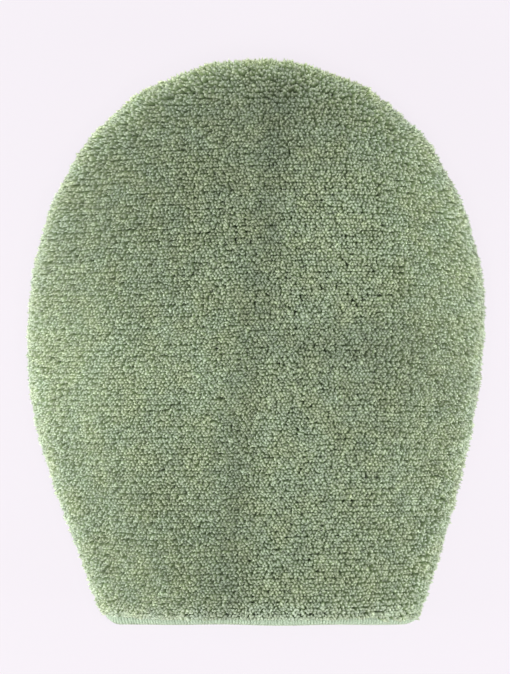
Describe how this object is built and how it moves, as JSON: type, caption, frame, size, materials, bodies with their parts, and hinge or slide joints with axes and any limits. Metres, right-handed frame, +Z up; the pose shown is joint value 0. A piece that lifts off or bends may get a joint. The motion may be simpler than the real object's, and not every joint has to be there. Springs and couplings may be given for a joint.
{
  "type": "grooming mitt",
  "caption": "Fingerless grooming mitt: an egg-shaped cut-pile glove with a soft lined hand pocket and a straight serged cuff.",
  "frame": {"origin": "under the middle of the mitt's bounding box, on the surface that the mitt lies on", "axes": "+X across the hand, +Y from the open cuff towards the fingertips, +Z up through the palm panel; the mitt lies on its back panel"},
  "size_m": [0.204, 0.2524, 0.049],
  "materials": {
    "pile": "sage green cut yarn pile, soft and matt with a slight sheen on the tips",
    "ground_cloth": "dark sage woven backing",
    "wadding": "off-white needled fleece",
    "lining": "pale sage warp-knit lining",
    "thread": "pale sage bulked overlock thread"
  },
  "bodies": {
    "root": {"palm_pile": "pile", "palm_ground_cloth": "ground_cloth", "palm_wadding": "wadding", "palm_lining": "lining", "back_pile": "pile", "back_ground_cloth": "ground_cloth", "back_wadding": "wadding", "back_lining": "lining", "seam_overlock": "thread", "cuff_serging": "thread", "left_bartack": "thread", "right_bartack": "thread"}
  },
  "joints": []
}
